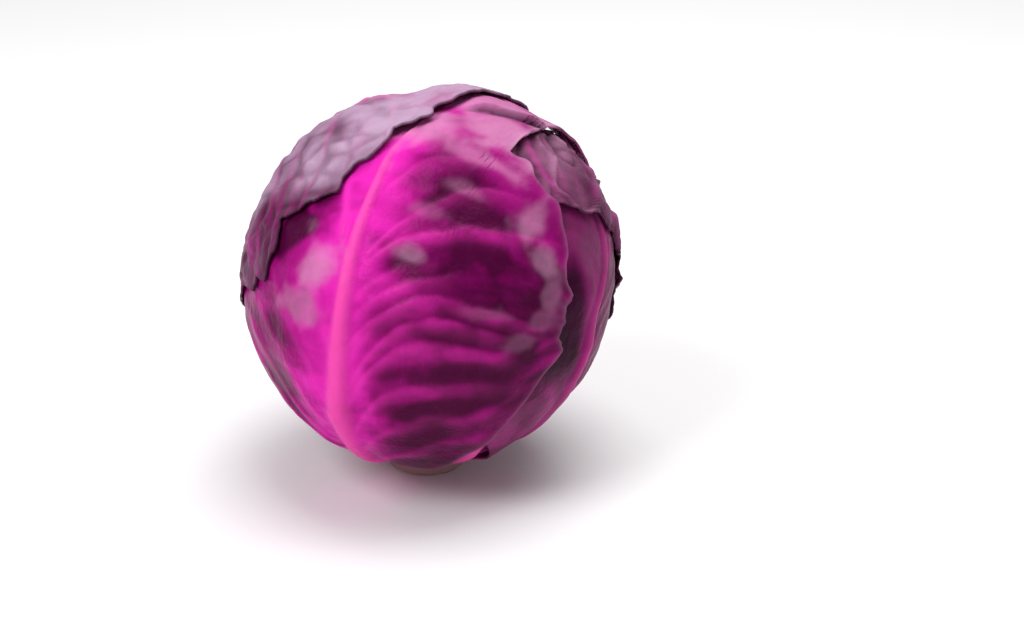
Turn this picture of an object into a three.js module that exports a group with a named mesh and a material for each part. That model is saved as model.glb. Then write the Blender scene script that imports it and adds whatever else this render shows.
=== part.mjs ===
// A red cabbage head, standing on its cut stem, in millimetres with +Z up.
//
// The head is a packed heart on a short stem, wrapped in eight broad outer leaves. Each leaf clasps the
// stem, rises along its midrib over the side of the heart and folds down past the crown. The leaves lie
// over one another in the order in which they grew, so each one rides up over the edges of those below.
//
// Places on the head are angles seen from its centre. Azimuth 0 faces -Y and grows towards +X. On a leaf,
// "along" is the angle along its midrib, 0 straight down and 180 straight up, and "across" is the angle
// to either side of the midrib, positive towards growing azimuth.

import * as THREE from 'three';

// Head

const HEAD_CENTRE_HEIGHT = 84; // above the cut face of the stem
const HEART_RADIUS = 70.8;
const HEART_TALLNESS = 0.95; // height of the heart over its width
const HEART_SEGMENTS = 28;
const HEART_RINGS = 14;

// Where the head bulges: which way from the centre, by how much, and how far round it spreads.
const BULGES = [
	{ towards: [0.72, -0.1, 0.68], height: 4.5, spread: 34 },
	{ towards: [-0.6, -0.35, -0.7], height: 1.6, spread: 30 },
	{ towards: [-0.4, 0.8, 0.45], height: 2.5, spread: 32 },
	{ towards: [0.1, 0.75, -0.6], height: 1.5, spread: 30 },
];

// Stem

const STEM_RADIUS = 17;
const STEM_TOP = 19;
const STEM_EDGE_ROUND = 1.5;
const STEM_SIDES = 28;

// Leaves

const LEAF_THICKNESS = 1.3;
const LEAF_SPACING = 1.6; // free space between one leaf and the next
const JOINT_GAP = 0.6; // between a leaf's foot, or the heart, and the stem
const LEAF_FOOT_WIDTH = 8; // half the width of a leaf's foot, in degrees
const LEAF_FOOT_AT = 12; // where the foot meets the stem, in degrees along
const LEAF_WIDEST_FROM = 78; // along the midrib, in degrees
const LEAF_ROUNDNESS = 2.4; // how squarely the far edge turns down to the shoulders: 1 is a point
const RIB_HEIGHT = 2.2;
const RIB_WIDTH = 5; // in degrees across
const RIB_FADES_FROM = 20; // along the midrib, in degrees
const RIB_END = 110;
const CREASE_WIDTH = 16; // how far across an upper leaf is lifted by a rib below it, in degrees

// How a leaf lies over the ones below, in degrees: it stays lifted for a clearance past their edges, then
// comes down over a slope. Being stiff, it rests on the highest ground within its reach.
const EDGE_CLEARANCE = { foot: 2.5, blade: 6 };
const EDGE_SLOPE = { foot: 5, blade: 24 };
const STIFF_REACH = { foot: 3, blade: 10 };
const FOOT_UNTIL = 15; // along the midrib
const BLADE_FROM = 60;

// Fineness of a leaf's mesh. Above 1, the crowding puts the columns closer together near the midrib.
const LEAF_COLUMNS = 16;
const LEAF_ROWS = 17;
const COLUMN_CROWDING = 1.25;

// Outer leaves from the innermost to the outermost. left and right are the angles from the midrib to the
// leaf's edges at its widest, shoulder is where along the leaf its edges turn in, and tip is where it ends.
const LEAVES = [
	{ name: 'leaf_back_inner', azimuth: 120, left: 58, right: 58, shoulder: 120, tip: 155 },
	{ name: 'leaf_front_inner', azimuth: 20, left: 60, right: 60, shoulder: 120, tip: 160 },
	{ name: 'leaf_back', azimuth: -172, left: 62, right: 62, shoulder: 125, tip: 165 },
	{ name: 'leaf_right', azimuth: 72, left: 62, right: 66, shoulder: 128, tip: 170 },
	{ name: 'leaf_left', azimuth: -88, left: 66, right: 64, shoulder: 130, tip: 172 },
	{ name: 'leaf_back_right', azimuth: 150, left: 64, right: 64, shoulder: 150, tip: 205 },
	{ name: 'leaf_front', azimuth: -26, left: 66, right: 70, shoulder: 140, tip: 196 },
	{ name: 'leaf_crown', azimuth: -140, left: 70, right: 70, shoulder: 148, tip: 191 },
];

const DOWN = new THREE.Vector3( 0, 0, - 1 );
const FAR_SIDE = - 60; // angles along below this are past the crown
const { degToRad, radToDeg, smoothstep, lerp, clamp } = THREE.MathUtils;

function bell( distance, spread ) {

	return Math.exp( - ( ( distance / spread ) ** 2 ) );

}

// Radius of the heart in a direction from the centre of the head.

function heartRadius( direction ) {

	let radius = HEART_RADIUS / Math.hypot( direction.x, direction.y, direction.z / HEART_TALLNESS );

	for ( const bulge of BULGES ) {

		const middle = new THREE.Vector3( ...bulge.towards );
		radius += bulge.height * bell( radToDeg( direction.angleTo( middle ) ), bulge.spread );

	}

	return radius;

}

// A leaf's own axes: the way its back faces, and the way its right side lies.

function leafAxes( leaf ) {

	const turn = degToRad( leaf.azimuth );

	return {
		facing: new THREE.Vector3( Math.sin( turn ), - Math.cos( turn ), 0 ),
		side: new THREE.Vector3( Math.cos( turn ), Math.sin( turn ), 0 ),
	};

}

function directionOf( leaf, along, across ) {

	const { facing, side } = leafAxes( leaf );
	const [ up, out ] = [ degToRad( along ), degToRad( across ) ];

	return new THREE.Vector3()
		.addScaledVector( DOWN, Math.cos( up ) * Math.cos( out ) )
		.addScaledVector( facing, Math.sin( up ) * Math.cos( out ) )
		.addScaledVector( side, Math.sin( out ) );

}

// The angle along counts on past straight up, to the far side of the crown.

function anglesOf( leaf, direction ) {

	const { facing, side } = leafAxes( leaf );
	const along = radToDeg( Math.atan2( direction.dot( facing ), direction.dot( DOWN ) ) );

	return {
		along: along < FAR_SIDE ? along + 360 : along,
		across: radToDeg( Math.asin( clamp( direction.dot( side ), - 1, 1 ) ) ),
	};

}

// The leaf's outline: how wide it is at an angle along the midrib, and where it ends at a share of its width.

function halfWidth( leaf, along, across ) {

	const widest = across < 0 ? leaf.left : leaf.right;

	return lerp( LEAF_FOOT_WIDTH, widest, smoothstep( along, LEAF_FOOT_AT, LEAF_WIDEST_FROM ) );

}

function endAngle( leaf, share ) {

	const turned = Math.min( Math.abs( share ), 1 ) ** LEAF_ROUNDNESS;

	return lerp( leaf.tip, leaf.shoulder, turned );

}

function ribHeight( along, across, width ) {

	return RIB_HEIGHT * bell( across, width ) * ( 1 - smoothstep( along, RIB_FADES_FROM, RIB_END ) );

}

// A value that differs between a leaf's foot and its blade, at an angle along the leaf.

function fromFootToBlade( value, along ) {

	return lerp( value.foot, value.blade, smoothstep( along, FOOT_UNTIL, BLADE_FROM ) );

}

// How much a leaf lifts the leaves above it, in a direction from the centre of the head.

function liftOver( leaf, direction ) {

	const { along, across } = anglesOf( leaf, direction );
	const width = halfWidth( leaf, along, across );
	const upwards = Math.cos( degToRad( across ) );
	const pastSide = Math.abs( across ) - width;
	const pastTip = ( along - endAngle( leaf, across / width ) ) * upwards;
	const pastFoot = ( LEAF_FOOT_AT - along ) * upwards;
	const past = Math.max( pastSide, pastTip, pastFoot );

	const clearance = fromFootToBlade( EDGE_CLEARANCE, along );
	const slope = fromFootToBlade( EDGE_SLOPE, along );
	const lift = LEAF_THICKNESS + LEAF_SPACING + ribHeight( along, across, CREASE_WIDTH );

	return lift * ( 1 - smoothstep( past, clearance, clearance + slope ) );

}

// A leaf is a flat box, bent onto the head: x runs across the leaf, y along it and z through it.

function leafGeometry( leaf, leavesBelow ) {

	const geometry = new THREE.BoxGeometry( 2, 1, 1, LEAF_COLUMNS, LEAF_ROWS, 1 );
	const points = geometry.getAttribute( 'position' );
	const groundBelow = ( direction ) => leavesBelow.reduce(
		( radius, below ) => radius + liftOver( below, direction ),
		heartRadius( direction ),
	);
	const innerFace = ( along, across ) => {

		const reach = fromFootToBlade( STIFF_REACH, along );
		let ground = groundBelow( directionOf( leaf, along, across ) );
		for ( let turn = 0; turn < 2 * Math.PI; turn += Math.PI / 4 ) {

			const [ up, out ] = [ reach * Math.sin( turn ), reach * Math.cos( turn ) ];
			ground = Math.max( ground, groundBelow( directionOf( leaf, along + up, across + out ) ) );

		}

		return ground + LEAF_SPACING;

	};

	for ( let i = 0; i < points.count; i ++ ) {

		const share = Math.sign( points.getX( i ) ) * Math.abs( points.getX( i ) ) ** COLUMN_CROWDING;
		const height = points.getY( i ) + 0.5;
		const isBack = points.getZ( i ) > 0;

		// The foot follows the round side of the stem.
		const footAcross = share * LEAF_FOOT_WIDTH;
		const footRadius = innerFace( LEAF_FOOT_AT, footAcross );
		const footAngle = Math.asin( ( STEM_RADIUS + JOINT_GAP ) / footRadius );
		const footAlong = radToDeg( Math.acos( Math.cos( footAngle ) / Math.cos( degToRad( footAcross ) ) ) );

		const along = lerp( footAlong, endAngle( leaf, share ), height );
		const across = share * halfWidth( leaf, along, share );
		const direction = directionOf( leaf, along, across );
		let radius = innerFace( along, across );
		if ( isBack ) radius += LEAF_THICKNESS + ribHeight( along, across, RIB_WIDTH );

		points.setXYZ( i, direction.x * radius, direction.y * radius, HEAD_CENTRE_HEIGHT + direction.z * radius );

	}

	return geometry;

}

// The heart is turned about the stem's axis, with a socket below that the stem fills, and then bulged.

function heartGeometry() {

	const socketRadius = STEM_RADIUS + JOINT_GAP;
	const socketTop = STEM_TOP + JOINT_GAP - HEAD_CENTRE_HEIGHT;
	const profile = [ new THREE.Vector2( 0, socketTop ), new THREE.Vector2( socketRadius, socketTop ) ];
	const firstAngle = Math.asin( socketRadius / HEART_RADIUS );

	for ( let i = 0; i <= HEART_RINGS; i ++ ) {

		const angle = lerp( firstAngle, Math.PI, i / HEART_RINGS );
		const isCrown = i === HEART_RINGS;
		profile.push( new THREE.Vector2(
			isCrown ? 0 : HEART_RADIUS * Math.sin( angle ),
			- HEART_RADIUS * HEART_TALLNESS * Math.cos( angle ),
		) );

	}

	const geometry = new THREE.LatheGeometry( profile, HEART_SEGMENTS );
	geometry.rotateX( Math.PI / 2 );

	const points = geometry.getAttribute( 'position' );
	const point = new THREE.Vector3();

	for ( let i = 0; i < points.count; i ++ ) {

		point.fromBufferAttribute( points, i );
		const direction = point.clone().normalize();
		const even = HEART_RADIUS / Math.hypot( direction.x, direction.y, direction.z / HEART_TALLNESS );
		const isInSocket = point.length() < even - JOINT_GAP;
		if ( ! isInSocket ) point.setLength( heartRadius( direction ) );
		points.setXYZ( i, point.x, point.y, point.z + HEAD_CENTRE_HEIGHT );

	}

	return geometry;

}

// The stem is a plain round stub, cut off flat below with its edge worn round.

function stemGeometry() {

	const arcMiddle = 1 - Math.SQRT1_2;
	const profile = [
		new THREE.Vector2( 0, 0 ),
		new THREE.Vector2( STEM_RADIUS - STEM_EDGE_ROUND, 0 ),
		new THREE.Vector2( STEM_RADIUS - STEM_EDGE_ROUND * arcMiddle, STEM_EDGE_ROUND * arcMiddle ),
		new THREE.Vector2( STEM_RADIUS, STEM_EDGE_ROUND ),
		new THREE.Vector2( STEM_RADIUS, STEM_TOP ),
		new THREE.Vector2( 0, STEM_TOP ),
	];

	return new THREE.LatheGeometry( profile, STEM_SIDES ).rotateX( Math.PI / 2 );

}

const LEAF_COLOUR = 0x7c1f66;
const HEART_COLOUR = 0x5a1648;
const STEM_COLOUR = 0xe3d6b8;

function named( name, geometry, color, roughness ) {

	const material = new THREE.MeshStandardMaterial( { color, roughness, metalness: 0 } );
	const mesh = new THREE.Mesh( geometry, material );
	mesh.name = name;

	return mesh;

}

const cabbage = new THREE.Group();
cabbage.name = 'red_cabbage';
cabbage.add( named( 'stem', stemGeometry(), STEM_COLOUR, 0.7 ) );
cabbage.add( named( 'heart', heartGeometry(), HEART_COLOUR, 0.5 ) );

LEAVES.forEach( ( leaf, order ) => {

	cabbage.add( named( leaf.name, leafGeometry( leaf, LEAVES.slice( 0, order ) ), LEAF_COLOUR, 0.45 ) );

} );

export default cabbage;
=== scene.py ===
"""A whole red cabbage head on a pale floor, grown leaf by leaf round its heart."""

import math

import bmesh
import bpy
import numpy as np
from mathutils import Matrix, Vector, kdtree, noise


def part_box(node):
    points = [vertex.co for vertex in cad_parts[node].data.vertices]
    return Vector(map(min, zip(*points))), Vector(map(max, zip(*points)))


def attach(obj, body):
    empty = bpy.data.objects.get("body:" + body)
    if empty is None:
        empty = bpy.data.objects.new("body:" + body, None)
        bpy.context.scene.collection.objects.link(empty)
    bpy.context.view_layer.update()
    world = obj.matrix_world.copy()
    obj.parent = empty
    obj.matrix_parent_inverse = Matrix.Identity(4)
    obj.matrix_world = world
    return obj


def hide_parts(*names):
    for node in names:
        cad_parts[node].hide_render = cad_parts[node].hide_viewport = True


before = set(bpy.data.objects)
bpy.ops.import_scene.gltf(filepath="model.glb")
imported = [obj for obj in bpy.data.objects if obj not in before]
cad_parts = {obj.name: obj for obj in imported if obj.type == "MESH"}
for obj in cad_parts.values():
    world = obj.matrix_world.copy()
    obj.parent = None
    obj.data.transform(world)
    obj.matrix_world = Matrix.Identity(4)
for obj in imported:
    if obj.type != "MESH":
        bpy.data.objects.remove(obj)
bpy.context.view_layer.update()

# ---------------------------------------------------------------------------------------------------
# Heart
# The heart is all the young leaves packed tight inside the head. It is firm and dark purple, and the
# wrapper leaves hide it but for slivers between their feet. It is a bulged ball with a socket for the
# stem, wrinkled where its outermost young leaves overlap.
# ---------------------------------------------------------------------------------------------------

HEAD_CENTRE = Vector((0, 0, 0.084))
HEART_RADIUS = 0.0726
HEART_TALLNESS = 0.955
HEART_WRINKLE = 0.0006
SOCKET_WIDTH = 14  # degrees from straight down

# Where the head bulges: which way from its centre, how far out, and over how many degrees.
BULGES = [
    ((0.72, -0.10, 0.68), 0.0085, 34),
    ((-0.10, -0.45, -0.85), 0.0052, 46),
    ((-0.40, 0.80, 0.45), 0.0025, 32),
    ((0.10, 0.75, -0.60), 0.0015, 30),
]


def ease(value, low, high):
    share = np.clip((value - low) / (high - low), 0, 1)
    return share * share * (3 - 2 * share)


def bell(value, spread):
    return np.exp(-((value / spread) ** 2))


def heart_radius(directions):
    x, y, z = np.moveaxis(directions, -1, 0)
    radius = HEART_RADIUS / np.sqrt(x * x + y * y + (z / HEART_TALLNESS) ** 2)
    for towards, height, spread in BULGES:
        middle = np.array(towards) / np.linalg.norm(towards)
        turn = np.degrees(np.arccos(np.clip(directions @ middle, -1, 1)))
        radius += height * bell(turn, spread)
    return radius


def grain(points, size, octaves=3, seed=0.0):
    """Cloudy noise at some points, about -1 to 1, with blotches of the given size in metres."""
    shift = Vector((seed, 2.3 * seed, -1.7 * seed))
    return np.array([noise.fractal(Vector(p) / size + shift, 1.0, 2.0, octaves) for p in points])


def cells(points, size, seed=0.0):
    """0 on the border between two cells of about the given size, rising towards 1 in their middles."""
    shift = Vector((seed, -seed, 3.1 * seed))
    found = [noise.voronoi(Vector(p) / size + shift)[0] for p in points]
    return np.clip(np.array([d[1] - d[0] for d in found]), 0, 1)


def read_points(mesh):
    points = np.empty(len(mesh.vertices) * 3)
    mesh.vertices.foreach_get("co", points)
    return points.reshape(-1, 3)


def write_points(mesh, points):
    mesh.vertices.foreach_set("co", points.ravel())
    mesh.update()


def mark(mesh, name, values):
    """Keeps one number per point of a mesh, for its material to read."""
    mesh.attributes.new(name, "FLOAT", "POINT").data.foreach_set("value", np.asarray(values, dtype=float))


def add_piece(name, node, bm):
    """Makes a smooth-shaded piece from a bmesh, standing for a CAD node."""
    mesh = bpy.data.meshes.new(name)
    bm.to_mesh(mesh)
    bm.free()
    mesh.shade_smooth()
    piece = bpy.data.objects.new(name, mesh)
    bpy.context.scene.collection.objects.link(piece)
    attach(piece, "root")
    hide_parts(node)
    return piece


class Value:
    """A socket of a shader, with arithmetic that adds Math nodes."""

    def __init__(self, tree, socket):
        self.tree, self.socket = tree, socket

    def math(self, operation, *others):
        return shade(self.tree, "ShaderNodeMath", {"operation": operation}, dict(enumerate((self, *others))))

    def __add__(self, other):
        return self.math("ADD", other)

    def __sub__(self, other):
        return self.math("SUBTRACT", other)

    def __rsub__(self, other):
        return shade(self.tree, "ShaderNodeMath", {"operation": "SUBTRACT"}, {0: other, 1: self})

    def __mul__(self, other):
        return self.math("MULTIPLY", other)

    def __pow__(self, other):
        return self.math("POWER", other)

    __radd__ = __add__
    __rmul__ = __mul__

    def between(self, low, high):
        """0 below low, 1 above high, and smooth from one to the other."""
        settings = {"interpolation_type": "SMOOTHSTEP", "clamp": True}
        return shade(self.tree, "ShaderNodeMapRange", settings, {"Value": self, 1: low, 2: high})


def shade(tree, kind, settings=None, inputs=None, output=0):
    """Adds any node: its settings first, then the values or links of its sockets."""
    node = tree.nodes.new(kind)
    for key, setting in (settings or {}).items():
        setattr(node, key, setting)
    for key, given in (inputs or {}).items():
        if isinstance(given, Value):
            tree.links.new(given.socket, node.inputs[key])
        else:
            node.inputs[key].default_value = given
    return Value(tree, node.outputs[output] if len(node.outputs) else None)


def blend(tree, share, first, second):
    """Mixes two colours: all first at a share of 0, all second at 1."""
    sockets = {0: share, 6: first, 7: second}
    return shade(tree, "ShaderNodeMix", {"data_type": "RGBA", "clamp_factor": True}, sockets, output=2)


def colour(red, green, blue):
    return (red, green, blue, 1.0)


def new_material(name):
    material = bpy.data.materials.new(name)
    material.use_nodes = True
    tree = material.node_tree
    tree.nodes.clear()
    return material, tree


def place(tree):
    return shade(tree, "ShaderNodeTexCoord", output="Object")


def cloud(tree, size, detail=4.0, roughness=0.55):
    """Cloudy noise from 0 to 1 over the object, with blotches of the given size in metres."""
    sockets = {"Vector": place(tree), "Scale": 1 / size, "Detail": detail, "Roughness": roughness}
    return shade(tree, "ShaderNodeTexNoise", None, sockets)


def net(tree, size, width):
    """1 along the borders of cells of the given size, falling to 0 at the given share of a cell."""
    bent = cloud(tree, size * 1.6, detail=2.0) * (0.9 * size)
    where = shade(tree, "ShaderNodeVectorMath", {"operation": "ADD"}, {0: place(tree), 1: bent})
    sockets = {"Vector": where, "Scale": 1 / size}
    edge = shade(tree, "ShaderNodeTexVoronoi", {"feature": "DISTANCE_TO_EDGE"}, sockets)
    return 1 - edge.between(0.0, width)


def finish_material(tree, base, roughness, height, depth, **constants):
    """The shader itself: what varies is linked, and what is the same all over is set on its socket."""
    normal = shade(tree, "ShaderNodeBump", None, {"Height": height, "Distance": depth, "Strength": 1.0})
    sockets = {"Base Color": base, "Roughness": roughness, "Normal": normal, **constants}
    shader = shade(tree, "ShaderNodeBsdfPrincipled", None, sockets)
    shade(tree, "ShaderNodeOutputMaterial", None, {"Surface": shader})


def heart_material():
    material, tree = new_material("packed young leaves")
    veins = net(tree, 0.006, 0.10)
    mottle = cloud(tree, 0.02).between(0.35, 0.7)
    base = blend(tree, mottle, colour(0.09, 0.008, 0.055), colour(0.22, 0.012, 0.12))
    base = blend(tree, veins * 0.35, base, colour(0.42, 0.05, 0.26))
    roughness = 0.36 + 0.2 * cloud(tree, 0.008)
    finish_material(tree, base, roughness, veins + cloud(tree, 0.003), 0.0003)
    return material


def build_heart():
    bm = bmesh.new()
    bmesh.ops.create_uvsphere(bm, u_segments=96, v_segments=64, radius=1.0)
    piece = add_piece("heart_packed_leaves", "heart", bm)
    directions = read_points(piece.data)
    radius = heart_radius(directions)
    folds = np.abs(grain(directions * HEART_RADIUS, 0.022, octaves=2, seed=4.0))
    radius -= HEART_WRINKLE * bell(folds, 0.08)
    down = np.degrees(np.arccos(np.clip(-directions[:, 2], -1, 1)))
    radius -= 0.010 * (1 - ease(down, SOCKET_WIDTH - 3, SOCKET_WIDTH + 1))
    write_points(piece.data, directions * radius[:, None] + np.array(HEAD_CENTRE))
    piece.data.materials.append(heart_material())


build_heart()

# ---------------------------------------------------------------------------------------------------
# Stem
# The stem is the stalk that the head was cut from: a short woody stub, cream where the knife went
# through it, with a darker rim and a ring of fibres under the skin. The head stands on its cut face.
# ---------------------------------------------------------------------------------------------------


STEM_RINGS = 5  # rings of faces on the cut
FIBRES_AT = 0.78  # share of the stub's radius


def stem_material(radius):
    material, tree = new_material("cut stalk")
    x_y_z = shade(tree, "ShaderNodeSeparateXYZ", None, {"Vector": place(tree)})
    x, y = (Value(tree, x_y_z.socket.node.outputs[axis]) for axis in ("X", "Y"))
    from_middle = (x * x + y * y) ** 0.5 * (1 / radius)
    off_ring = (from_middle - FIBRES_AT).math("ABSOLUTE")
    fibres = (1 - off_ring.between(0.0, 0.07)) * cloud(tree, 0.0012).between(0.4, 0.65)
    base = blend(tree, cloud(tree, 0.006), colour(0.74, 0.66, 0.46), colour(0.60, 0.50, 0.32))
    base = blend(tree, fibres * 0.55, base, colour(0.36, 0.24, 0.16))
    base = blend(tree, from_middle.between(0.88, 1.0) * 0.8, base, colour(0.34, 0.14, 0.20))
    height = cloud(tree, 0.0016) + fibres * 0.6
    finish_material(tree, base, 0.62 + 0.2 * cloud(tree, 0.004), height, 0.0006)
    return material


def build_stem():
    low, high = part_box("stem")
    radius, top = (high.x - low.x) / 2, high.z
    bm = bmesh.new()
    bmesh.ops.create_cone(bm, cap_ends=True, segments=64, radius1=radius, radius2=radius, depth=top)
    bmesh.ops.translate(bm, verts=bm.verts, vec=(0, 0, top / 2))
    ends = [f for f in bm.faces if len(f.verts) > 4]
    for _ in range(STEM_RINGS):
        bmesh.ops.inset_region(bm, faces=ends, thickness=radius / (STEM_RINGS + 2), use_even_offset=True)
    rims = [e for e in bm.edges if e.calc_face_angle(0) > 1]
    bmesh.ops.bevel(bm, geom=rims, offset=0.0014, affect="EDGES", segments=3, profile=0.5, material=-1)
    piece = add_piece("stem_stub", "stem", bm)
    points = read_points(piece.data)
    points[:, :2] *= (1 - 0.02 * ease(points[:, 2], 0.004, top) + 0.012 * grain(points, 0.009))[:, None]
    write_points(piece.data, points)
    piece.data.materials.append(stem_material(radius))


build_stem()

# ---------------------------------------------------------------------------------------------------
# Inner wrapper leaves
# Four broad leaves lie under those that show most. Each is a thin waxy blade on a thick midrib that
# clasps the stem, rises over the side of the head and folds in over the crown. It is laid over what is
# already there, and being stiff it bridges the steps at the edges of the leaves below.
# ---------------------------------------------------------------------------------------------------

# A place on a leaf is two angles seen from the middle of the head: along its midrib, 0 straight down and
# 180 straight up, and across it, positive to the right. Azimuth 0 faces the front.

LEAF_THICKNESS = 0.0010
LEAF_GRAIN_DEPTH = 0.00045
LEAF_GAP = 0.0006
FOOT_RADIUS = 0.0182  # how far from the stem's axis a leaf's foot ends
FOOT_WIDTH = 8  # degrees to each side of the midrib
WIDEST_FROM = 78  # degrees along

FIELD_STEP = 1.5  # degrees between two samples of how far out a leaf lies
FIELD_ALONG = np.arange(-12, 251, FIELD_STEP)
FIELD_ACROSS = np.arange(-82.5, 83, FIELD_STEP)
VEIN_SPACING = 9.5  # degrees from one side vein to the next, where they run by rule
FIRST_VEIN = 50  # degrees along
LEFT_STRAIGHT = 0.3  # share of a straight climb in the veins left of the midrib
VEIN_WANDER = 0.35

BRIDGED = 3  # samples over which a leaf stays on the highest ground, and then comes down smoothly

laid_leaves = []  # azimuth and outer radius of each leaf laid so far


def leaf_axes(azimuth):
    turn = math.radians(azimuth)
    down = np.array([0.0, 0.0, -1.0])
    facing = np.array([math.sin(turn), -math.cos(turn), 0.0])
    side = np.array([math.cos(turn), math.sin(turn), 0.0])
    return down, facing, side


def directions_at(azimuth, along, across):
    down, facing, side = leaf_axes(azimuth)
    up, out = np.radians(along)[..., None], np.radians(across)[..., None]
    return down * np.cos(up) * np.cos(out) + facing * np.sin(up) * np.cos(out) + side * np.sin(out)


def angles_at(azimuth, directions):
    down, facing, side = leaf_axes(azimuth)
    along = np.degrees(np.arctan2(directions @ facing, directions @ down))
    across = np.degrees(np.arcsin(np.clip(directions @ side, -1, 1)))
    return np.where(along < -60, along + 360, along), across


def read_field(field, along, across):
    row = np.clip((along - FIELD_ALONG[0]) / FIELD_STEP, 0, len(FIELD_ALONG) - 1.001)
    column = np.clip((across - FIELD_ACROSS[0]) / FIELD_STEP, 0, len(FIELD_ACROSS) - 1.001)
    i, j = row.astype(int), column.astype(int)
    a, b = row - i, column - j
    near = field[i, j] * (1 - b) + field[i, j + 1] * b
    far = field[i + 1, j] * (1 - b) + field[i + 1, j + 1] * b
    return near * (1 - a) + far * a


def slide(field, reach, pick):
    """Takes the mean or the highest of every sample's neighbours within reach, both ways."""
    for axis in (0, 1):
        pads = [(reach, reach) if axis == a else (0, 0) for a in (0, 1)]
        windows = np.lib.stride_tricks.sliding_window_view(np.pad(field, pads, "edge"), 2 * reach + 1, axis)
        field = pick(windows, axis=-1)
    return field


def drape(azimuth):
    """How far out the inner face of a new leaf lies, over its field."""
    along, across = np.meshgrid(FIELD_ALONG, FIELD_ACROSS, indexing="ij")
    directions = directions_at(azimuth, along, across)
    ground = heart_radius(directions)
    for laid_azimuth, outer in laid_leaves:
        ground = np.maximum(ground, read_field(outer, *angles_at(laid_azimuth, directions)))
    ground = slide(ground, BRIDGED, np.max)
    return slide(slide(ground, 1, np.mean), BRIDGED - 1, np.mean) + LEAF_GAP


def curve(knots, at):
    """A line through given knots, with its corners eased."""
    knots_at, heights = zip(*knots)
    reach = 0.012 * (knots_at[-1] - knots_at[0])
    return sum(np.interp(at + shift * reach, knots_at, heights) for shift in (-1.5, -0.5, 0.5, 1.5)) / 4


def fold(along, across, line, lip, reach):
    """A crease along a line of (along, across) points: a lip on its left stands over a groove on its right.

    Returns its relief, and how much painted shade darkens its groove at each place.
    """
    relief, groove, nearest = np.zeros_like(along), np.zeros_like(along), np.full_like(along, 1e9)
    lengths = [math.dist(a, b) for a, b in zip(line, line[1:])]
    walked = 0.0
    for (start, end), length in zip(zip(line, line[1:]), lengths):
        step_along, step_across = (end[0] - start[0]) / length, (end[1] - start[1]) / length
        off_along, off_across = along - start[0], across - start[1]
        walk = np.clip(off_along * step_along + off_across * step_across, 0, length)
        left = off_along * step_across - off_across * step_along
        apart = np.hypot(off_along - walk * step_along, off_across - walk * step_across)
        closer = apart < nearest
        nearest = np.where(closer, apart, nearest)
        signed = np.where(left > 0, apart, -apart)
        at = (walked + walk) / sum(lengths)
        strength = ease(at, 0.0, 0.3) * (1 - ease(at, 0.75, 1.0))
        raised = ease(signed, -0.8, 0.8) * np.exp(-np.maximum(signed, 0) / reach)
        sunk = (1 - ease(signed, -0.8, 0.8)) * np.exp(-np.maximum(-signed, 0) / (0.4 * reach))
        relief = np.where(closer, lip * strength * (raised - 0.55 * sunk), relief)
        # Painted shade in the groove, just below the lip.
        groove = np.where(closer, strength * bell(signed + 0.8, 1.2), groove)
        walked += length
    return relief, groove


def stroke(along, across, line, width):
    """1 on a line of (along, across) points, fading over its width in degrees and thinning to its end."""
    drawn = np.zeros_like(along)
    steps = len(line) - 1
    for order, (start, end) in enumerate(zip(line, line[1:])):
        length = math.dist(start, end)
        step_along, step_across = (end[0] - start[0]) / length, (end[1] - start[1]) / length
        off_along, off_across = along - start[0], across - start[1]
        walk = np.clip(off_along * step_along + off_across * step_across, 0, length)
        apart = np.hypot(off_along - walk * step_along, off_across - walk * step_across)
        left_over = 1 - (order + walk / length) / steps
        drawn = np.maximum(drawn, bell(apart, width * (0.45 + 0.55 * left_over)) * ease(left_over, 0.0, 0.25))
    return drawn


def ramp(tree, share, stops):
    """Turns a number into a colour through (number, colour) stops."""
    found = shade(tree, "ShaderNodeValToRGB", None, {0: share})
    elements = found.socket.node.color_ramp.elements
    for extra in stops[2:]:
        elements.new(extra[0])
    for element, (at, shown) in zip(elements, stops):
        element.position, element.color = at, shown
    return found


def marked(tree, name):
    return shade(tree, "ShaderNodeAttribute", {"attribute_name": name}, output="Fac")


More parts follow.
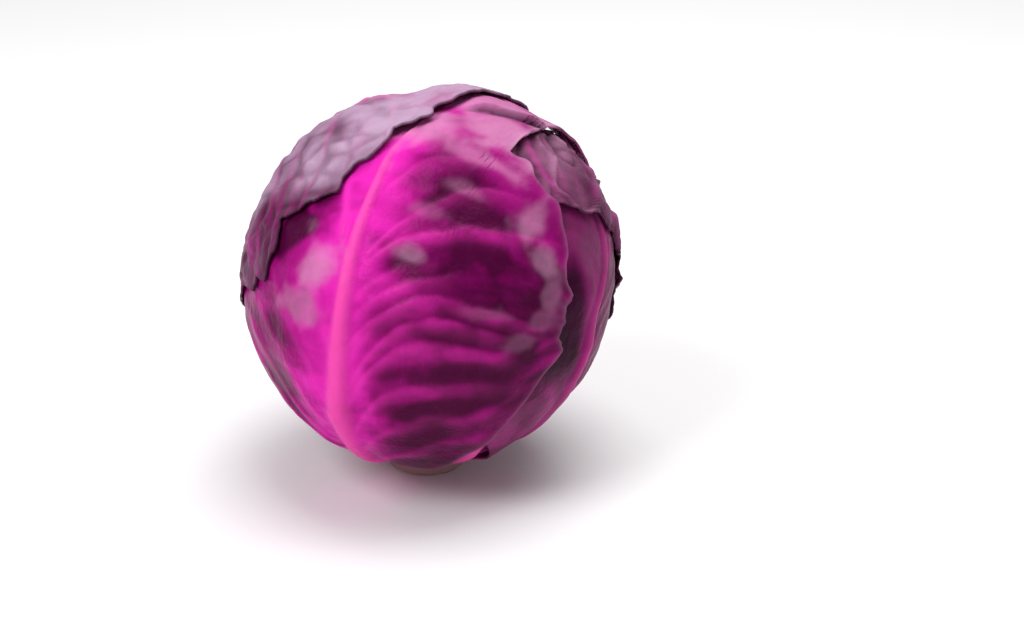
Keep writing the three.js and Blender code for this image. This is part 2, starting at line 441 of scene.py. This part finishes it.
def leaf_material(name, bloom_and_sheen_colour):
    """The waxy blade: purple to magenta, pink over its veins, with a pale bloom that rubs off in patches;
    the bloom colour also paints sheen and highlights, and a near-black colour is painted shade at margins and
    in creases.
    """
    material, tree = new_material(name)
    rib, vein, bloom_and_sheen, edge = (marked(tree, mark_name) for mark_name in ("rib", "vein", "bloom_and_sheen", "edge"))
    fine, broad = net(tree, 0.0042, 0.16), net(tree, 0.0105, 0.12)
    mottle = cloud(tree, 0.009, detail=6.0)
    tone = marked(tree, "tone") + (mottle - 0.5) * 0.35 + (cloud(tree, 0.0022) - 0.5) * 0.12
    base = ramp(tree, tone, [
        (0.00, colour(0.060, 0.001, 0.030)),
        (0.25, colour(0.130, 0.001, 0.066)),
        (0.60, colour(0.330, 0.004, 0.175)),
        (1.00, colour(0.680, 0.016, 0.390)),
    ])
    base = blend(tree, broad * 0.012, base, colour(0.45, 0.05, 0.28))
    base = blend(tree, vein * 0.45, base, colour(0.66, 0.04, 0.35))
    base = blend(tree, rib * 0.85, base, colour(0.82, 0.07, 0.38))
    # Bloom colour: wax bloom, and also painted sheen, highlight and glint where the bloom mark carries them.
    bloom_and_sheen_share = (bloom_and_sheen * (0.62 + 0.6 * cloud(tree, 0.012, detail=4.0))).between(0.0, 1.15)
    base = blend(tree, bloom_and_sheen_share, base, bloom_and_sheen_colour)
    # Painted shade: the edge mark paints near-black along leaf margins, in crease grooves and in the right
    # leaf's shadowed hollow.
    base = blend(tree, edge, base, colour(0.022, 0.002, 0.014))
    roughness = 0.34 + 0.30 * bloom_and_sheen_share + 0.16 * (mottle - 0.5) + 0.06 * rib
    height = 0.05 * fine + 0.10 * broad + 1.6 * cloud(tree, 0.0075) + 0.4 * cloud(tree, 0.0020)
    wax = {"Specular IOR Level": 0.06, "IOR": 1.42}
    finish_material(tree, base, roughness, height, LEAF_GRAIN_DEPTH, **wax)
    return material


def vein_pattern(leaf, along, across, points):
    """Where the side veins run: 1 on a vein's crest, and how far each place is from one to the next."""
    x = across - curve(leaf["sway"], along)
    side = np.abs(x)
    if "side_veins" in leaf:
        wander = 2.2 * grain(points, 0.020, octaves=3, seed=leaf["seed"])
        crest = np.zeros_like(along)
        for turn, foot, rise, reach, droop, ends_at, strength in leaf["side_veins"]:
            line = foot + rise * (1 - np.exp(-side / reach)) - droop * (side / 50) ** 4
            apart = along + wander * ease(side, 4, 20) - line
            drawn = np.where(apart > 0, bell(apart, 1.1 + 0.022 * side), bell(apart, 2.6 + 0.05 * side))
            patchy = 0.75 + 0.45 * grain(points, 0.013, 2, leaf["seed"] + foot)
            drawn = drawn * strength * patchy * ease(side, 1.5, 5) * (1 - ease(side, ends_at - 10, ends_at))
            crest = np.maximum(crest, np.where(x * turn > 0, drawn, 0))
        return x, side, along / VEIN_SPACING, np.clip(crest, 0, 1)
    higher = ease(along, 85, 150)
    straight = np.where(x < 0, LEFT_STRAIGHT, 0.0)
    bowed = (27 + 13 * higher) * (1 - np.exp(-side / (9 + 13 * higher)))
    rise = bowed * (1 - straight) + straight * 1.05 * side
    wander = VEIN_WANDER * grain(points, 0.038, octaves=2, seed=leaf["seed"])
    phase = (along - rise - FIRST_VEIN) / VEIN_SPACING + wander
    order = np.round(phase)
    apart = (phase - order) * VEIN_SPACING
    strong = 0.65 + 0.35 * np.sin(2.4 * order + leaf["seed"])
    strong = strong * np.where(x < 0, leaf.get("left_veins", 1.0), 1.0)
    crest = strong * bell(apart, 1.3 + 0.02 * side) * ease(side, 1.0, 4.0)
    return x, side, phase, crest


def leaf_surface(leaf, along, across, points):
    """The relief of a leaf in metres, and its marks: rib, vein, tone, bloom with painted sheen, and painted
    edge shade.
    """
    x, side, phase, crest = vein_pattern(leaf, along, across, points)
    thin = ease(along, 40, 170)
    rib_width = leaf.get("rib_width", 1.0) * (3.6 - 2.5 * thin)
    rib_end = 1 - ease(along, leaf.get("rib_end", 150), leaf.get("rib_end", 150) + 30)
    rib = np.exp(-np.abs(x / rib_width) ** 3) * rib_end
    fade = 1 - ease(side, 48, 70)
    veins = crest * (0.35 + 0.65 * fade)
    pillow = cells(points, 0.0115, seed=leaf["seed"]) ** 0.6 - 0.5
    streaks = grain(np.stack([phase * 0.012, x * 0.0006, points[:, 2] * 0.1], axis=1), 0.012, 3, leaf["seed"])
    crumple = leaf.get("crumple", 0.25)

    relief = leaf.get("rib_height", 0.0022) * (1 - 0.65 * thin) * rib
    relief += -0.0004 * bell(side - 1.7 * rib_width, 0.8 * rib_width) * rib_end
    relief += leaf.get("vein_height", 0.0010) * veins * ease(side, 3, 10)
    for line, line_width, strength in leaf.get("branches", ()):
        drawn = strength * stroke(along, across, line, line_width)
        veins = np.maximum(veins, drawn)
        crest = np.maximum(crest, drawn)
        relief += 0.0006 * drawn
    rumpled = 0.0008 * crumple * grain(points, 0.011, 3, leaf["seed"])
    relief += 0.0007 * crumple * pillow * ease(side, 3, 12) + rumpled

    lit_side = np.where(x < 0, leaf.get("left_light", 0.0), 0.0)
    patchy = grain(points, 0.022, 2, leaf["seed"] + 9)
    tone = 0.50 + leaf.get("glow", 0.15) * bell(side, 17) + 0.30 * streaks + 0.16 * patchy + lit_side
    tone += 0.26 * (crest - 0.35) * fade
    left_share = np.where(x < 0, leaf.get("left_veins", 1.0), 1.0)
    tone -= leaf["darkness"] * (1 - 0.75 * bell(side, 9)) * left_share
    cloudy = grain(points, 0.026, 2, leaf["seed"] + 5)
    marks = {
        "rib": rib,
        "vein": np.clip(veins * (0.55 + 0.5 * bell(side, 30)), 0, 1),
        "tone": tone,
        "bloom_and_sheen": np.clip(leaf["bloom_and_sheen"] * (1 + 0.9 * cloudy), 0, 1),
        "edge": np.zeros_like(tone),
    }
    return relief, marks


def degrees_from(outline, directions):
    """How many degrees each direction is from the nearest of an outline's."""
    tree = kdtree.KDTree(len(outline))
    for order, direction in enumerate(outline):
        tree.insert(direction, order)
    tree.balance()
    return np.degrees([tree.find(direction)[2] for direction in directions])


def crowded(u, crowd):
    """Draws the columns of a leaf's mesh together where its outline is steep."""
    if crowd is None:
        return u
    at, strength, width = crowd
    even = np.linspace(-1, 1, 801)
    density = np.cumsum(1 + strength * bell(even - at, width))
    density = 2 * (density - density[0]) / (density[-1] - density[0]) - 1
    return np.interp(u, density, even)


def leaf_place(leaf, u, v):
    """Where on the head a leaf's flat sheet goes: u from -1 to 1 across it, v from 0 at its foot to 1."""
    foot_angle = math.asin(FOOT_RADIUS / HEART_RADIUS)
    foot = np.degrees(np.arccos(math.cos(foot_angle) / np.cos(np.radians(u * FOOT_WIDTH))))
    left, right = leaf["sides"]
    widest = np.where(u < 0, left, right)
    wave = 1.2 * np.sin(widest * u / 2.6 + leaf["seed"]) + 0.5 * np.sin(widest * u / 1.15 + 2 * leaf["seed"])
    wave = wave * (0.6 + 0.6 * np.sin(widest * u / 5.3)) * (1 - 0.6 * ease(np.abs(u), 0.85, 0.95))
    end = curve(leaf["tip"], u) + leaf.get("ragged", 1.0) * wave
    along = foot + (end - foot) * v
    ripple = leaf.get("ragged", 1.0) * (np.sin(along / 4.1 + leaf["seed"]) + 0.25 * np.sin(along / 1.5))
    widest_from = leaf.get("widest_from", WIDEST_FROM)
    width = FOOT_WIDTH + (widest + ripple * ease(along, 40, 80) - FOOT_WIDTH) * ease(along, 13, widest_from)
    return along, u * width + curve(leaf["sway"], along) * (1 - np.abs(u)) * ease(along, 13, 40)


def grow_leaf(leaf, material):
    """Cuts a leaf to its outline, lays it over the leaves before it and raises its ribs and creases."""
    columns, rows = leaf["fineness"]
    bm = bmesh.new()
    bmesh.ops.create_grid(bm, x_segments=columns, y_segments=rows, size=1.0)
    piece = add_piece(leaf["name"], leaf["node"], bm)
    flat = read_points(piece.data)
    u, v = crowded(flat[:, 0], leaf.get("crowd")), (flat[:, 1] + 1) / 2

    along, across = leaf_place(leaf, u, v)
    tip_u, side_v = np.linspace(-1, 1, 1600), np.linspace(0.15, 1, 500)
    margins = [leaf_place(leaf, tip_u, np.ones_like(tip_u))]
    margins += [leaf_place(leaf, np.full_like(side_v, side), side_v) for side in (-1.0, 1.0)]
    outline = np.concatenate([directions_at(leaf["azimuth"], *margin) for margin in margins])

    # The lie of the leaf
    inner = drape(leaf["azimuth"])
    directions = directions_at(leaf["azimuth"], along, across)
    radius = read_field(inner, along, across) + LEAF_THICKNESS
    relief, marks = leaf_surface(leaf, along, across, directions * radius[:, None])
    from_edge = degrees_from(outline, directions)
    if "shape" in leaf:
        relief = relief + leaf["shape"](along, across, directions * radius[:, None], from_edge, marks)
    marks["bloom_and_sheen"] = np.clip(marks["bloom_and_sheen"] + leaf.get("rim", 0.0) * np.exp(-from_edge / 0.9), 0, 1)
    curl = np.exp(-from_edge / 2.5) * (0.6 + 0.5 * np.sin(along / 4.0 + across / 5.0 + leaf["seed"]))
    relief = relief * (0.25 + 0.75 * ease(along, 14, 40)) + leaf.get("curl", 0.0004) * curl
    # Painted shadow: a near-black line along the margin, for the shade beneath it.
    marks["edge"] = np.clip(marks["edge"] + leaf.get("rim_shade", 0.8) * np.exp(-from_edge / 0.22), 0, 1)
    radius = radius + relief

    laid = directions * radius[:, None] + np.array(HEAD_CENTRE)
    laid[:, 2] = np.maximum(laid[:, 2], 0.0014)
    write_points(piece.data, laid)
    for name, values in marks.items():
        mark(piece.data, name, values)

    # What later leaves lie on: the highest point of this leaf in each sample of its field
    outer = np.zeros_like(inner)
    i = np.round((along - FIELD_ALONG[0]) / FIELD_STEP).astype(int)
    j = np.round((across - FIELD_ACROSS[0]) / FIELD_STEP).astype(int)
    np.maximum.at(outer, (i, j), radius)
    laid_leaves.append((leaf["azimuth"], outer))

    thick = piece.modifiers.new("thickness", "SOLIDIFY")
    thick.thickness = LEAF_THICKNESS
    thick.offset = -1
    piece.data.materials.append(material)
    return piece


PLAIN_SWAY = [(0, 0), (90, 1.5), (150, -1.5), (230, 0)]


def round_tip(tip, shoulder_left, shoulder_right):
    """The outline of a plain leaf's end: how far along it reaches, from its left side to its right."""
    left_bend = shoulder_left + 0.6 * (tip - shoulder_left)
    right_bend = shoulder_right + 0.6 * (tip - shoulder_right)
    return [(-1, shoulder_left), (-0.75, left_bend), (-0.4, tip - 4), (0, tip),
            (0.4, tip - 4), (0.75, right_bend), (1, shoulder_right)]


hidden_leaf = leaf_material("shaded leaf", colour(0.34, 0.17, 0.27))

for name, azimuth, sides, tip, shoulder, fineness in (
    ("back_inner", 120, (58, 58), 155, 120, (90, 100)),
    ("front_inner", 20, (60, 60), 160, 120, (90, 100)),
    ("back", -172, (62, 62), 165, 125, (110, 130)),
    ("left", -88, (66, 64), 172, 130, (120, 140)),
):
    grow_leaf({
        "name": f"{name}_leaf",
        "node": f"leaf_{name}",
        "azimuth": azimuth,
        "sides": sides,
        "tip": round_tip(tip, shoulder, shoulder),
        "sway": PLAIN_SWAY,
        "fineness": fineness,
        "seed": 1.0 + 0.01 * azimuth,
        "darkness": 0.45,
        "crumple": 0.5,
        "bloom_and_sheen": 0.25,
    }, hidden_leaf)

# ---------------------------------------------------------------------------------------------------
# Right leaf
# A dull purple wrapper leaf round the right side, thin and smooth, with a narrow midrib that bends as
# it climbs. It clasps the stem, and where the front leaf's margin stands over it, that margin's shadow
# is painted on it near-black, over a slight hollow.
# ---------------------------------------------------------------------------------------------------

HOLLOW_UNTIL = -13  # degrees across, from which the leaf shows beyond the front leaf's shadow


def shape_right(along, across, points, from_edge, marks):
    beside_margin = 1 - ease(across, HOLLOW_UNTIL, HOLLOW_UNTIL + 5)
    hollow_in_painted_shadow = beside_margin * ease(along, 60, 80) * (1 - ease(along, 106, 118))
    # Painted shadow: near-black, with less bloom, where the front leaf's margin stands over this leaf.
    marks["edge"] = np.clip(marks["edge"] + 0.92 * hollow_in_painted_shadow, 0, 1)
    marks["bloom_and_sheen"] *= 1 - 0.7 * hollow_in_painted_shadow
    marks["vein"] *= 0.5
    marks["rib"] *= 0.45
    return -0.0004 * hollow_in_painted_shadow


grow_leaf({
    "name": "right_leaf",
    "node": "leaf_right",
    "azimuth": 66,
    "sides": (62, 66),
    "tip": round_tip(170, 128, 128),
    "sway": [(0, 0), (70, -7), (86, -6), (96, -5), (104, 4), (120, 7), (150, 8), (230, 8)],
    "fineness": (150, 170),
    "seed": 1.6,
    "darkness": 0.42,
    "crumple": 0.3,
    "bloom_and_sheen": 0.35,
    "rib_width": 0.6,
    "rib_height": 0.0014,
    "vein_height": 0.0004,
    "left_veins": 0.2,
    "glow": 0.05,
    "shape": shape_right,
}, leaf_material("dull leaf", colour(0.23, 0.08, 0.155)))

# ---------------------------------------------------------------------------------------------------
# Back right leaf
# An older wrapper leaf, which buckled as the head swelled under it. Its blade stands in ridges with
# furrows between, painted paler along the ridges as highlight and darker in the furrows as shade.
# It clasps the stem at the back and folds in over the crown.
# ---------------------------------------------------------------------------------------------------

def shape_back_right(along, across, points, from_edge, marks):
    """Ridges pushed up where the leaf buckled, with painted highlight along their tops and painted shade in
    the furrows.
    """
    bent = points + 0.003 * grain(points, 0.02, 2, seed=8.0)[:, None]
    ridge = bell(grain(bent * np.array([1.0, 1.0, 0.6]), 0.017, 2, seed=5.0), 0.10)
    furrow = bell(grain(bent, 0.020, 2, seed=9.0), 0.08)
    # Painted highlight on the ridge tops and painted shade in the furrows, in bloom and in tone.
    marks["bloom_and_sheen"] = np.clip(marks["bloom_and_sheen"] + 0.30 * ridge - 0.25 * furrow, 0, 1)
    marks["tone"] += 0.18 * ridge - 0.28 * furrow
    marks["vein"] *= 0.4
    return 0.0018 * ridge - 0.0013 * furrow


grow_leaf({
    "name": "back_right_leaf",
    "node": "leaf_back_right",
    "azimuth": 150,
    "sides": (63, 64),
    "tip": [(-1, 150), (-0.92, 176), (-0.81, 193), (-0.6, 200), (-0.3, 205), (0.2, 205), (0.7, 180),
            (1, 150)],
    "sway": PLAIN_SWAY,
    "fineness": (165, 180),
    "seed": 3.1,
    "darkness": 0.42,
    "crumple": 1.2,
    "bloom_and_sheen": 0.45,
    "shape": shape_back_right,
}, leaf_material("crumpled leaf", colour(0.36, 0.17, 0.28)))

# ---------------------------------------------------------------------------------------------------
# Front leaf
# The broad magenta wrapper leaf, taut and glossy, on a thick pink midrib from which the side veins
# climb. Its bloom has rubbed off in patches, and other pale patches are painted sheen and a painted glint.
# Patches of painted shade darken it under the crown leaf's margin, between its side veins and in a crease
# of its upper lobe, which reaches over the crown to the back.
# ---------------------------------------------------------------------------------------------------

# Branches that leave the midrib at a low angle, each with its width in degrees and its strength
FRONT_BRANCHES = [
    ([(96, 2.5), (105, 2.4), (115, 0.6), (124, -2), (133, -4), (141, -7), (150, -9)], 1.9, 0.9),
    ([(80, 2), (85, 1), (91, -1), (101, -5), (109, -9), (115, -15)], 2.2, 0.45),
]

# Patches of bloom, some of them painted sheen and a painted glint, and of painted shade: where on the
# leaf along and across, how tall and wide, and how strong
FRONT_BLOOM_AND_SHEEN = [
    (115, -9, 10, 8, 0.62), (102, -13, 7, 9, 0.50), (74, -27, 14, 8, 0.25), (139, 20, 3, 8, 0.25),
    (152, 49, 11, 6, 0.60), (141, 58, 10, 6, 0.55), (125, 65, 14, 4, 0.35), (107, 63, 9, 5, 0.30),
    (169, 7, 13, 17, 0.66), (176, 26, 11, 16, 0.62), (192, 16, 16, 30, 0.66), (161, 28, 4, 16, 0.45),
    (150, 28, 3, 10, 0.35), (124, 20, 3, 6, 0.45), (108, 45, 3, 9, 0.25), (94, 57, 6, 7, 0.30),
]
FRONT_SHADE = [
    (144, 32, 6, 14, 0.40), (131, 41, 6, 18, 0.42), (120, 17, 5, 9, 0.30), (99, 36, 5, 16, 0.34),
    (84, 38, 6, 18, 0.40), (86, 17, 4, 8, 0.25), (108, 39, 5, 13, 0.32), (155, 22, 3, 14, 0.30),
    (125, -24, 10, 9, 0.70), (137, -14, 7, 6, 0.45), (134, -36, 10, 9, 0.55), (58, -27, 20, 17, 0.38),
    (101, 47, 5, 6, 0.30), (70, 30, 5, 22, 0.30), (55, 22, 6, 16, 0.25), (134, 58, 3, 6, 0.25),
    (90, 60, 5, 6, 0.30), (40, 12, 14, 14, 0.30),
]

# Side veins, -1 left and 1 right of the midrib: where each leaves it, how far it climbs, over what
# distance, how far it sinks again toward the margin, where it ends and how strong it is
FRONT_SIDE_VEINS = [
    (1, 27, 26, 9, 6, 50, 0.45),
    (1, 38, 29, 9, 7, 55, 0.50),
    (1, 50, 32, 9, 8, 60, 0.60),
    (1, 62, 34, 8, 8, 58, 0.90),
    (1, 69, 36, 10, 8, 54, 0.85),
    (1, 82, 28, 10, 4, 34, 0.70),
    (1, 88, 27, 14, 8, 68, 0.90),
    (1, 97, 26, 17, 4, 36, 0.65),
    (1, 104, 24, 18, 0, 30, 0.45),
    (1, 112, 28, 18, -8, 62, 1.00),
    (1, 112, 56, 26, 0, 48, 0.70),
    (1, 136, 26, 11, 0, 46, 0.55),
    (-1, 24, 62, 30, 0, 62, 0.75),
    (-1, 34, 76, 38, 0, 60, 0.60),
    (-1, 50, 70, 34, 0, 55, 0.40),
    (-1, 66, 66, 30, 0, 60, 0.35),
]


def patches(spots, along, across, points):
    """Soft-edged patches, their outlines broken up."""
    broken = 1 + 0.55 * grain(points, 0.012, 3, seed=2.0)
    covered = np.zeros_like(along)
    for spot_along, spot_across, tall, wide, strength in spots:
        apart = np.hypot((along - spot_along) / tall, (across - spot_across) / wide)
        covered = np.maximum(covered, strength * (1 - ease(apart * broken, 0.35, 1.25)))
    return covered


CREASE_LIP = 0.0028
CREASE_REACH = 6  # degrees
FRONT_CREASE = [(181, 10), (184, 16), (184, 22), (187, 28), (192, 36)]  # where the upper lobe has buckled


FRONT_FOLDS = [(166, 20, 4, 18, 1.0), (159, 28, 3, 16, 0.8)]  # low swells, given as the patches are


def shape_front(along, across, points, from_edge, marks):
    relief = np.zeros_like(along)
    # Bloom patches: painted sheen left of the midrib and a painted glint near along 124, besides real bloom.
    marks["bloom_and_sheen"] = np.clip(marks["bloom_and_sheen"] + patches(FRONT_BLOOM_AND_SHEEN, along, across, points), 0, 1)
    # Painted shade: darker tone under the crown leaf's margin and between the side veins.
    marks["tone"] -= patches(FRONT_SHADE, along, across, points) * (1 - marks["vein"])
    calm = ease(along + 0.4 * across, 164, 172)
    marks["tone"] += calm * (0.66 - marks["tone"]) * 0.6
    step, groove = fold(along, across, FRONT_CREASE, CREASE_LIP, CREASE_REACH)
    relief += step
    # Painted shade: near-black in the crease's groove, under its lip.
    marks["edge"] = np.clip(marks["edge"] + 0.9 * groove, 0, 1)
    relief += 0.0007 * patches(FRONT_FOLDS, along, across, points)
    lobe = ease(along, 172, 178) * ease(across, 14, 24)
    margin = ease(across, 52, 64) * ease(along, 55, 75) * (1 - ease(along, 122, 140))
    return relief + (0.0011 * lobe + 0.0016 * margin) * np.exp(-from_edge / 5)


grow_leaf({
    "name": "front_leaf",
    "node": "leaf_front",
    "azimuth": -28,
    "sides": (66, 71),
    "tip": [(-1, 135), (-0.85, 160), (-0.5, 196), (0, 212), (0.2, 230), (0.36, 238), (0.39, 172), (0.43, 167),
            (0.50, 171), (0.62, 165), (0.72, 165), (0.77, 162), (0.84, 160), (0.92, 149), (1, 128)],
    "sway": [(0, -4), (44, -3.5), (64, -1), (88, 1.7), (115, 2.3), (150, 2), (165, 4), (180, 6), (200, 11),
             (230, 17), (250, 18)],
    "fineness": (210, 215),
    "seed": 7.0,
    "darkness": 0.24,
    "crumple": 0.3,
    "bloom_and_sheen": 0.02,
    "vein_height": 0.0013,
    "left_veins": 0.25,
    "left_light": 0.04,
    "ragged": 0.7,
    "glow": 0.62,
    "crowd": (0.375, 4.0, 0.05),
    "rim": 0.5,
    "rim_shade": 0.3,
    "side_veins": FRONT_SIDE_VEINS,
    "rib_end": 160,
    "rib_height": 0.0032,
    "branches": FRONT_BRANCHES,
    "shape": shape_front,
}, leaf_material("magenta leaf", colour(0.58, 0.26, 0.44)))

# ---------------------------------------------------------------------------------------------------
# Crown leaf
# The outermost leaf, which grew up the back and folded over the crown. Its blade is faintly blistered
# between the veins, under a thick greyish bloom of wax, with more bloom painted near the top as light
# from overhead. It clasps the stem outside all the others.
# ---------------------------------------------------------------------------------------------------

def shape_crown(along, across, points, from_edge, marks):
    blister = cells(points, 0.0135, seed=3.0)
    patch = grain(points, 0.016, 2, seed=6.0)
    facet = grain(np.round(points / 0.011 + 0.3 * patch[:, None]) * 0.011, 0.013, 1, seed=12.0)
    marks["bloom_and_sheen"] = marks["bloom_and_sheen"] * (0.62 + 0.30 * ease(blister, 0.0, 0.35)) + 0.25 * patch + 0.10 * facet
    # Painted light: more bloom over the top of the crown leaf, where the overhead lamp falls.
    marks["bloom_and_sheen"] += 0.40 * (1 - ease(across, 8, 34)) * ease(along, 140, 170)
    marks["bloom_and_sheen"] = np.clip(marks["bloom_and_sheen"] * (1 - 0.70 * ease(across, 38, 58)), 0, 1)
    marks["vein"] *= 0.45
    return 0.0006 * (ease(blister, 0.0, 0.45) - 0.6)


grow_leaf({
    "name": "crown_leaf",
    "node": "leaf_crown",
    "azimuth": -140,
    "sides": (70, 71),
    "tip": [(-1, 150), (-0.6, 182), (0, 189), (0.25, 188), (0.37, 190), (0.46, 187), (0.55, 185), (0.65, 185),
            (0.72, 175), (0.75, 154), (0.79, 158), (0.94, 163), (1, 142)],
    "sway": PLAIN_SWAY,
    "fineness": (190, 195),
    "seed": 11.0,
    "darkness": 0.45,
    "crumple": 0.8,
    "bloom_and_sheen": 0.7,
    "vein_height": 0.0005,
    "left_veins": 0.6,
    "crowd": (0.735, 3.0, 0.04),
    "widest_from": 128,
    "curl": 0.0002,
    "rim_shade": 0.65,
    "ragged": 1.6,
    "shape": shape_crown,
}, leaf_material("bloomy leaf", colour(0.43, 0.28, 0.41)))

# ---------------------------------------------------------------------------------------------------
# Floor, light and camera
# The head stands on plain white paper, under a large lamp at the left and a broad one overhead.
# The camera looks down at it a little from the front.
# ---------------------------------------------------------------------------------------------------


LENS = 85  # mm
CAMERA_BACK, CAMERA_ABOVE = 0.9678, 0.4022  # from the middle of the head
LOOKS_DOWN, LOOKS_RIGHT = 23.40, 2.24  # degrees


def build_floor():
    bm = bmesh.new()
    bmesh.ops.create_grid(bm, x_segments=1, y_segments=1, size=6.0)
    mesh = bpy.data.meshes.new("floor")
    bm.to_mesh(mesh)
    bm.free()
    floor = bpy.data.objects.new("floor", mesh)
    bpy.context.scene.collection.objects.link(floor)
    material, tree = new_material("white paper")
    sockets = {"Base Color": colour(0.86, 0.855, 0.86), "Roughness": 0.9}
    shader = shade(tree, "ShaderNodeBsdfPrincipled", None, sockets)
    shade(tree, "ShaderNodeOutputMaterial", None, {"Surface": shader})
    mesh.materials.append(material)


def add_light(name, place_at, size, watts):
    light = bpy.data.lights.new(name, "AREA")
    light.size, light.energy = size, watts
    lamp = bpy.data.objects.new(name, light)
    lamp.location = place_at
    lamp.rotation_euler = (HEAD_CENTRE - lamp.location).to_track_quat("-Z", "Y").to_euler()
    bpy.context.scene.collection.objects.link(lamp)


def add_camera():
    camera = bpy.data.cameras.new("camera")
    camera.lens, camera.sensor_width = LENS, 36
    eye = bpy.data.objects.new("camera", camera)
    eye.location = HEAD_CENTRE + Vector((0, -CAMERA_BACK, CAMERA_ABOVE))
    eye.rotation_euler = (math.radians(90 - LOOKS_DOWN), 0, math.radians(-LOOKS_RIGHT))
    bpy.context.scene.collection.objects.link(eye)
    bpy.context.scene.camera = eye


build_floor()
add_light("soft_key", (-0.85, -0.75, 1.15), 0.7, 14)
add_light("overhead", (0.25, 0.15, 1.5), 1.2, 22)
world = bpy.data.worlds.new("studio")
world.use_nodes = True
world.node_tree.nodes["Background"].inputs["Color"].default_value = (1, 1, 1, 1)
world.node_tree.nodes["Background"].inputs["Strength"].default_value = 0.34
bpy.context.scene.world = world
bpy.context.scene.view_settings.view_transform = "Standard"
add_camera()
